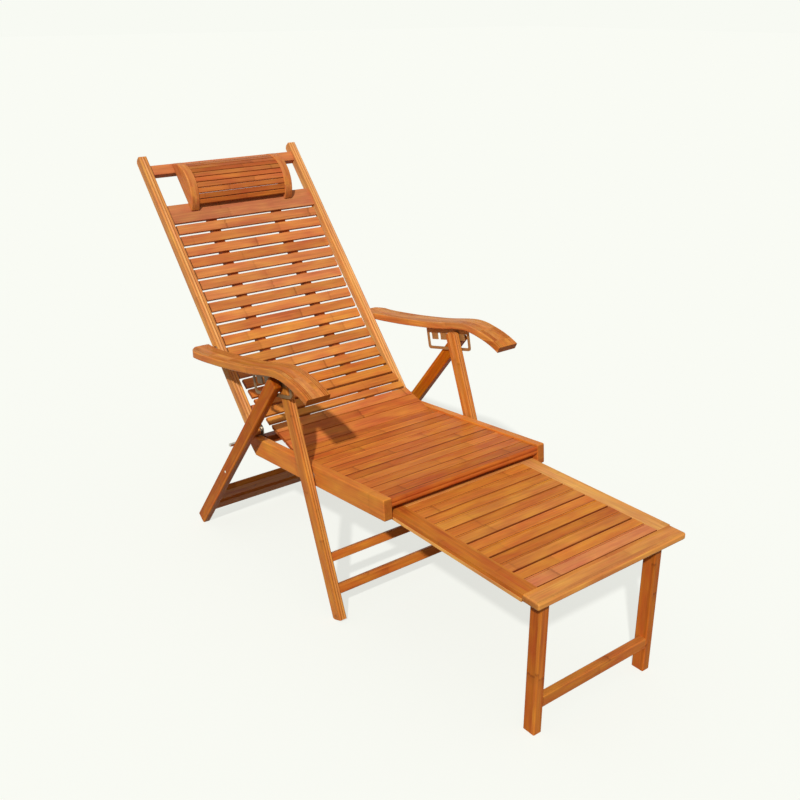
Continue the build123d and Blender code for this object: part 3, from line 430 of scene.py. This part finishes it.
# Rings from the rim to the bottom of the socket: their reach from the axis in radii, their
# level above the leg in heights, and whether they are six-sided.
SCREW_RINGS = ((1.0, -0.2, False), (0.97, 0.4, False), (0.8, 0.8, False), (0.55, 1.0, False),
               (0.38, 1.0, True), (0.38, 0.3, True))

rear_leg_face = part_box("rear_leg_left")[1][0]
shell = bmesh.new()
for side in (-1, 1):
    rings = []
    for reach, level, hexagonal in SCREW_RINGS:
        rings.append([])
        for i in range(SCREW_SIDES):
            turn = math.tau * i / SCREW_SIDES
            flat = math.cos(turn % (math.tau / 6) - math.tau / 12) if hexagonal else 1.0
            out = SCREW_RADIUS * reach / flat
            rings[-1].append(shell.verts.new((side * (rear_leg_face + SCREW_HEIGHT * level),
                                              SCREW_Y + out * math.cos(turn),
                                              SCREW_Z + out * math.sin(turn))))
    for outer, inner in zip(rings, rings[1:]):
        for i in range(SCREW_SIDES):
            shell.faces.new((outer[i - 1], outer[i], inner[i], inner[i - 1]))
    shell.faces.new(rings[0])
    shell.faces.new(rings[-1])
bmesh.ops.recalc_face_normals(shell, faces=shell.faces)
mesh = bpy.data.meshes.new("rear_leg_screws")
shell.to_mesh(mesh)
shell.free()
# The screws' colour is paler than zinc, as a painted highlight.
mesh.materials.append(plated_steel("Zinc screws", "e0d8c4", 0.45, metallic=0.7))
screws = bpy.data.objects.new("rear_leg_screws", mesh)
bpy.context.scene.collection.objects.link(screws)
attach(screws, "rear_legs")

# ---------------------------------------------------------------- footrest
# A frame of golden boards round twelve slats of mixed canes, the front one the reddest. A steel
# rod guides its rear end, and two legs on butt hinges carry its front.
UPRIGHT = 90.0
foot_tones = ["cb7a48", "cc7a2f", "cd7b35", "be6924", "cc772d", "c9722d", "cf7e36", "c26e29",
              "d08235", "c8752c", "cc7931", "cb762f"]
finish(lacquered_bamboo("Footrest slat bamboo", foot_tones, crosswise=True,
                        starts=slat_starts("footrest_slats", 0.0), seam=0.0012, cane=0.34,
                        joints=0.45),
       "footrest_slats")
finish(lacquered_bamboo("Footrest board bamboo", ["da9852", "d6914a", "dd9f5e"], joints=0.25,
                        seed=15.0),
       "footrest_side_left", "footrest_runner_left", "footrest_runner_right")
finish(lacquered_bamboo("Redder footrest board bamboo", ["c5722a", "bf6a24", "ca7931"],
                        joints=0.3, seed=19.0),
       "footrest_side_right", "footrest_batten")
finish(lacquered_bamboo("Footrest front board bamboo", ["cd8542", "c97c37"], crosswise=True,
                        strip=0.021, joints=0.25, seed=16.0),
       "footrest_front_board", "footrest_rear_bar")
finish(lacquered_bamboo("Footrest leg bamboo", ["bd6624", "c36e2a", "b5601f"], lean=UPRIGHT,
                        strip=0.0108, cane=0.2, joints=0.6, seed=17.0),
       "footrest_leg_left", "footrest_leg_right")
finish(lacquered_bamboo("Footrest bar bamboo", ["bc6a28", "c2712f"], lean=UPRIGHT,
                        crosswise=True, cane=0.2, seed=18.0),
       "footrest_leg_bar")
finish(plated_steel("Hinge steel", "b5a98c", 0.4),
       "footrest_hinges", "footrest_hinge_pins", "footrest_leg_leaves")

# ---------------------------------------------------------------- floor
# A seamless matt floor. It looks pale from the camera and in reflections, keeps the chair's
# shadow, and throws back less light than it seems to, as a dull floor does.
PALE_WHITE = "f8faf3"
FLOOR_GLOW = 0.72           # the share of its pale look that doesn't take the shadow


def seen_ray(tree):
    """1 for a ray from the camera, in a reflection or through glass, and 0 for one of light."""
    ray = add(tree, "ShaderNodeLightPath").node.outputs
    seen = add(tree, "ShaderNodeMath", [ray["Is Camera Ray"], ray["Is Glossy Ray"]],
               operation="MAXIMUM")
    return add(tree, "ShaderNodeMath", [seen, ray["Is Transmission Ray"]], operation="MAXIMUM")


bpy.ops.mesh.primitive_plane_add(size=80, location=(0, 0, 0))
floor = bpy.context.object
floor.name = "floor"
paint = bpy.data.materials.new("Matt floor")
paint.use_nodes = True
tree = paint.node_tree
dull = tree.nodes["Principled BSDF"]
dull.inputs["Base Color"].default_value = linear("746a58")
dull.inputs["Roughness"].default_value = 0.9
dull.inputs["Specular IOR Level"].default_value = 0.0
pale = add(tree, "ShaderNodeBsdfDiffuse", {"Color": linear("f4f5ee")})
glow = add(tree, "ShaderNodeEmission", {"Color": linear(PALE_WHITE), "Strength": 1.03})
bright = add(tree, "ShaderNodeMixShader", [FLOOR_GLOW, pale, glow])
mixed = add(tree, "ShaderNodeMixShader", [seen_ray(tree), dull.outputs[0], bright])
tree.links.new(mixed, tree.nodes["Material Output"].inputs["Surface"])
floor.data.materials.append(paint)

# ---------------------------------------------------------------- light and camera
# A key light from the chair's foot end and the sitter's right, with fairly crisp shadows, and an
# even sky. The camera looks down over the footrest's right corner.
KEY_DIRECTION = Vector((0.57, 0.53, -0.63))
world = bpy.data.worlds.new("studio")
bpy.context.scene.world = world
world.use_nodes = True
tree = world.node_tree
sky = tree.nodes["Background"]
sky.inputs["Color"].default_value = linear("ffffff")
sky.inputs["Strength"].default_value = 0.39
pale = add(tree, "ShaderNodeBackground", {"Color": linear(PALE_WHITE), "Strength": 1.0})
mixed = add(tree, "ShaderNodeMixShader", [seen_ray(tree), sky.outputs[0], pale])
tree.links.new(mixed, tree.nodes["World Output"].inputs["Surface"])

key = bpy.data.lights.new("key", "SUN")
key.energy = 3.05
key.angle = math.radians(2)
key_lamp = bpy.data.objects.new("key", key)
bpy.context.scene.collection.objects.link(key_lamp)
key_lamp.rotation_euler = KEY_DIRECTION.to_track_quat("-Z", "Y").to_euler()

camera = bpy.data.cameras.new("camera")
camera.sensor_width = 36
camera.lens = 44.25
camera.clip_end = 200
camera_stand = bpy.data.objects.new("camera", camera)
bpy.context.scene.collection.objects.link(camera_stand)
camera_stand.location = (-1.3410, -1.8125, 1.3570)
camera_stand.rotation_euler = (math.radians(67.84), 0, math.radians(-37.72))
bpy.context.scene.camera = camera_stand
bpy.context.scene.view_settings.view_transform = "Standard"
